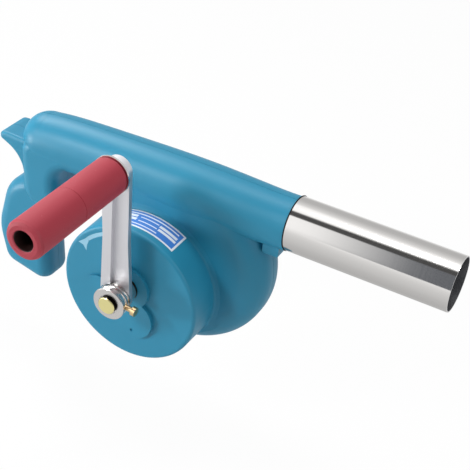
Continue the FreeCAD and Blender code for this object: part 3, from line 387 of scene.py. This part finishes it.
TUBE_INSIDE = 15.5           # a radius in mm that lies within the tube's wall
STRAW, PAINTED_GAP_SHADE = "#F2E8A6", "#17130F"
# Painted shade: inside the tube's wall the base colour is the darker #808184; outside it is #DAD8D6.
buffed_stainless = metal("stainless steel, buffed", "#808184", 0.10, ("X", 0.5), grain_height_mm=0.002,
                         rough_spread=0.03, bore=("X", tube_axis, TUBE_INSIDE, 0.50),
                         skin=("X", tube_axis, TUBE_INSIDE, "#DAD8D6"))
cast_aluminium = metal("aluminium, die cast", "#DADADE", 0.42, None, 0.5, 0.02)
turned_steel = metal("steel, turned bright", "#DAD8D6", 0.24, ("Y", 0.35), grain_height_mm=0.006)
zinc_straw = metal("steel, yellow zinc plated", STRAW, 0.30, None, 0.6, 0.006)
# Painted shade: the shaft's end is painted near black beyond 5.4 mm from the hub's axis, for the shade of the
# gap round the shaft.
shaft_end = metal("steel, yellow zinc plated, side painted black as shade", STRAW, 0.30, None, 0.6, 0.006,
                  skin=("Y", middle("crank_hub"), 5.4, PAINTED_GAP_SHADE))
brass_plate = metal("steel, brass plated", "#DCC193", 0.30, None, 0.6, 0.006)
black_oxide = metal("steel, black oxide", "#2B2B2D", 0.40)
spring_steel = metal("spring steel, phosphated", "#55565A", 0.45)
# The bronze's near-black colour is painted shade, for the shadow beside the crank's hub.
bronze_painted_dark_as_shade = metal("bronze, sintered, painted dark as shade", "#4A3B28", 0.42, None, 0.3, 0.01)
print("materials so far:", len(bpy.data.materials))

# %% [markdown]
# ## Dress the CAD pieces
# Each piece of the model gets one finish. A CAD piece is never moved: only its material slots change.

# %% Give each node its material
FINISH = {
    "front_shell": blue_abs, "rear_shell": blue_abs, "gear_cover": blue_abs,
    "crank_handle": red_pp, "impeller": black_pp,
    "outlet_tube": buffed_stainless, "crank_arm": cast_aluminium,
    "crank_hub": turned_steel, "spindle_washer": turned_steel, "fan_shaft": turned_steel,
    "first_idler_pin": turned_steel, "second_idler_pin": turned_steel, "third_idler_pin": turned_steel,
    "crank_shaft": shaft_end, "hub_set_screw": brass_plate, "handle_spindle": zinc_straw,
    "shell_screws": black_oxide, "cover_screws": black_oxide,
    "drive_gear_clip": spring_steel, "impeller_clip": spring_steel,
    "shaft_bush": bronze_painted_dark_as_shade, "fan_bush_front": bronze_painted_dark_as_shade, "fan_bush_rear": bronze_painted_dark_as_shade,
    "drive_gear": natural_nylon, "first_idler_gear": natural_nylon, "second_idler_gear": natural_nylon,
    "third_idler_gear": natural_nylon, "fan_pinion": natural_nylon,
}
for name, node in nodes.items():
    node.data.materials.clear()
    node.data.materials.append(FINISH[name])
print("dressed", len(nodes), "nodes with", len(set(FINISH.values())), "materials")

# %% [markdown]
# ## The label on the drum's side
# A paper label wraps part of the drum's side wall. It is cut from a thin tube that is a hair wider than the
# drum: the tube starts as a slightly tapered cylinder with open ends, as the drum is moulded with draft. Four
# cutting planes leave the patch, and a Solidify modifier gives it the thickness of the film. Smaller patches
# on top are its printed panels, left blank.

# %% Helpers that finish a film
def bake_place(piece):
    """Move an object's place into its mesh, so that the object itself sits at the origin."""
    bpy.ops.object.select_all(action="DESELECT")
    piece.select_set(True)
    bpy.context.view_layer.objects.active = piece
    bpy.ops.object.transform_apply(location=True, rotation=True, scale=True)


def finish_film(film, thickness_mm, material):
    """Give a flat patch its thickness, outwards, and its material, and let it ride on the housing."""
    thicken = film.modifiers.new("film thickness", "SOLIDIFY")
    thicken.thickness = thickness_mm * MM
    thicken.offset = 1.0
    bpy.ops.object.modifier_apply(modifier=thicken.name)
    film.data.materials.append(material)
    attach(film, "housing")


# %% A helper that cuts a patch from a tube
BOSS_RISE, WALL_DEPTH = 2.2 * MM, 21.9 * MM
WALL_FRONT = drum_low.y + BOSS_RISE
WALL_BACK = WALL_FRONT + WALL_DEPTH
FRONT_RADIUS, BACK_RADIUS = 45.0 * MM, 45.3 * MM
WALL_FACETS = 240
SMOOTH_BELOW = math.radians(30)


def drum_patch(name, start, end, front, back, lift, thickness, material):
    """A thin film on the drum's side wall, between two angles in degrees and two depths in mm from its face.

    Lift is how far it stands off the wall, and like its thickness it is in mm.
    """
    bpy.ops.object.select_all(action="DESELECT")
    bpy.ops.mesh.primitive_cone_add(
        vertices=WALL_FACETS, radius1=FRONT_RADIUS + lift * MM, radius2=BACK_RADIUS + lift * MM,
        depth=WALL_BACK - WALL_FRONT, end_fill_type="NOTHING",
        location=(drum_axis.x, (WALL_FRONT + WALL_BACK) / 2, drum_axis.z), rotation=(math.radians(-90), 0, 0))
    film = bpy.context.active_object
    film.name = name
    bake_place(film)
    first, last = math.radians(start), math.radians(end)
    cuts = [
        ((0, WALL_FRONT + front * MM, 0), (0, -1, 0)),
        ((0, WALL_FRONT + back * MM, 0), (0, 1, 0)),
        (drum_axis, (math.sin(first), 0, -math.cos(first))),
        (drum_axis, (-math.sin(last), 0, math.cos(last))),
    ]
    bpy.ops.object.mode_set(mode="EDIT")
    for point, outward in cuts:
        bpy.ops.mesh.select_all(action="SELECT")
        bpy.ops.mesh.bisect(plane_co=point, plane_no=outward, clear_outer=True)
    bpy.ops.object.mode_set(mode="OBJECT")
    finish_film(film, thickness, material)
    bpy.ops.object.shade_smooth_by_angle(angle=SMOOTH_BELOW)


# %% Label stock, blue field and blank panels
label_white = moulded("label stock, white gloss", "#E9ECF2", "#E2E6EE", 0.35, 0.6, 0.002)
label_blue = moulded("label print, blue", "#4080D2", "#3C79CA", 0.38, 0.6, 0.002)
STOCK_FILM, FIELD_FILM, PANEL_FILM = (0.05, 0.06), (0.12, 0.02), (0.15, 0.02)     # lift and thickness in mm
LABEL_START, LABEL_END, LABEL_NEAR, LABEL_FAR = 57.4, 118.0, 5.3, 21.3
BORDER, BORDER_ANGLE = 1.2, 1.6
BLANKS = [
    # start and end in degrees, then near and far edge in mm from the drum's face
    (96.0, 114.0, 14.4, 16.6), (95.0, 114.0, 11.3, 13.5),
    (61.0, 76.8, 13.7, 15.7), (60.3, 76.0, 10.9, 12.8),
    (62.0, 114.0, 17.6, 18.6), (78.0, 93.5, 14.9, 15.7),
    (77.2, 93.0, 11.3, 12.1), (75.0, 114.0, 8.0, 8.8),
]
drum_patch("label_stock", LABEL_START, LABEL_END, LABEL_NEAR, LABEL_FAR, *STOCK_FILM, label_white)
drum_patch("label_field", LABEL_START + BORDER_ANGLE, LABEL_END - BORDER_ANGLE, LABEL_NEAR + BORDER,
           LABEL_FAR - BORDER, *FIELD_FILM, label_blue)
for row, (start, end, near, far) in enumerate(BLANKS, start=1):
    drum_patch("label_blank_%d" % row, start, end, near, far, *PANEL_FILM, label_white)
print("label with", len(BLANKS), "blank panels, width in mm:", round(LABEL_FAR - LABEL_NEAR, 1))

# %% [markdown]
# ## The turning arrow on the drum's face
# A pale arrow is printed on the drum's face, with its forked tail at the left. Its body is a ring cut to an
# arc, and the arc, the tail and the head are flat polygons, filled and given a film's thickness.

# %% A helper for a film on the drum's face
FACE_LIFT, FACE_THICKNESS = 0.02, 0.03


def face_film(name, corners, material):
    """A flat film on the drum's face from corners given in mm, as (across, up) from the drum's axis."""
    bpy.ops.object.select_all(action="DESELECT")
    bpy.ops.mesh.primitive_circle_add(vertices=len(corners), radius=MM, fill_type="NGON")
    film = bpy.context.active_object
    film.name = name
    for vertex, (across, up) in zip(film.data.vertices, corners):
        vertex.co = (drum_axis.x + across * MM, WALL_FRONT - FACE_LIFT * MM, drum_axis.z + up * MM)
    bpy.ops.object.mode_set(mode="EDIT")
    bpy.ops.mesh.select_all(action="SELECT")
    bpy.ops.mesh.quads_convert_to_tris()
    bpy.ops.mesh.normals_make_consistent(inside=False)
    bpy.ops.object.mode_set(mode="OBJECT")
    if film.data.polygons[0].normal.y > 0:
        bpy.ops.object.mode_set(mode="EDIT")
        bpy.ops.mesh.flip_normals()
        bpy.ops.object.mode_set(mode="OBJECT")
    finish_film(film, FACE_THICKNESS, material)


# %% Arrow parts
def at(radius, degrees):
    return (radius * math.cos(math.radians(degrees)), radius * math.sin(math.radians(degrees)))


print_pale = moulded("pad print, pale blue", "#93C6DC", "#8CC0D7", 0.40, 0.6, 0.002)
ARC_OUTER, ARC_INNER = 41.3, 38.85
ARC_LEFT, ARC_RIGHT, ARC_STEP = 136, 103, 3
arc = [at(ARC_OUTER, degrees) for degrees in range(ARC_LEFT, ARC_RIGHT, -ARC_STEP)]
arc += [at(ARC_INNER, degrees) for degrees in range(ARC_RIGHT, ARC_LEFT + 1, ARC_STEP)]
tail = [at(41.2, 135.5), at(41.1, 138.8), at(42.4, 146.4), at(39.0, 144.6), at(35.4, 146.8), at(37.4, 141.5),
        at(38.8, 136.5)]
head = [at(42.8, 104), at(40.0, 96), at(37.2, 104)]
for name, corners in (("arrow_arc", arc), ("arrow_tail", tail), ("arrow_head", head)):
    face_film(name, corners, print_pale)
print("arrow of", len(arc) + len(tail) + len(head), "corners")

# %% [markdown]
# ## The painted shade line at the tube's joint
# A fine dark line of painted shade is drawn round the tube where it meets the housing. A thin ring that
# sits half in the corner is enough, because only its outer half shows.

# %% Painted shade line round the tube
tube_low, tube_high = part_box("outlet_tube")
TUBE_RADIUS = (tube_high[1] - tube_low[1]) / 2
SHADE_LINE_THICKNESS = 0.4 * MM
bpy.ops.object.select_all(action="DESELECT")
bpy.ops.mesh.primitive_torus_add(
    major_segments=160, minor_segments=8, major_radius=TUBE_RADIUS, minor_radius=SHADE_LINE_THICKNESS,
    location=(tube_low[0], tube_axis.y, tube_axis.z), rotation=(0, math.radians(90), 0))
painted_shade_ring = bpy.context.active_object
painted_shade_ring.name = "joint_painted_shade_line"
bake_place(painted_shade_ring)
bpy.ops.object.shade_smooth()
# The ring's near-black colour is painted shade in the corner of the joint.
painted_shade_ring.data.materials.append(moulded("painted shade at the joint", "#121416", "#0E1012", 0.8, 0.5, 0.01, 0.2))
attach(painted_shade_ring, "housing")
print("painted shade line round a tube of radius in mm:", round(TUBE_RADIUS / MM, 1))
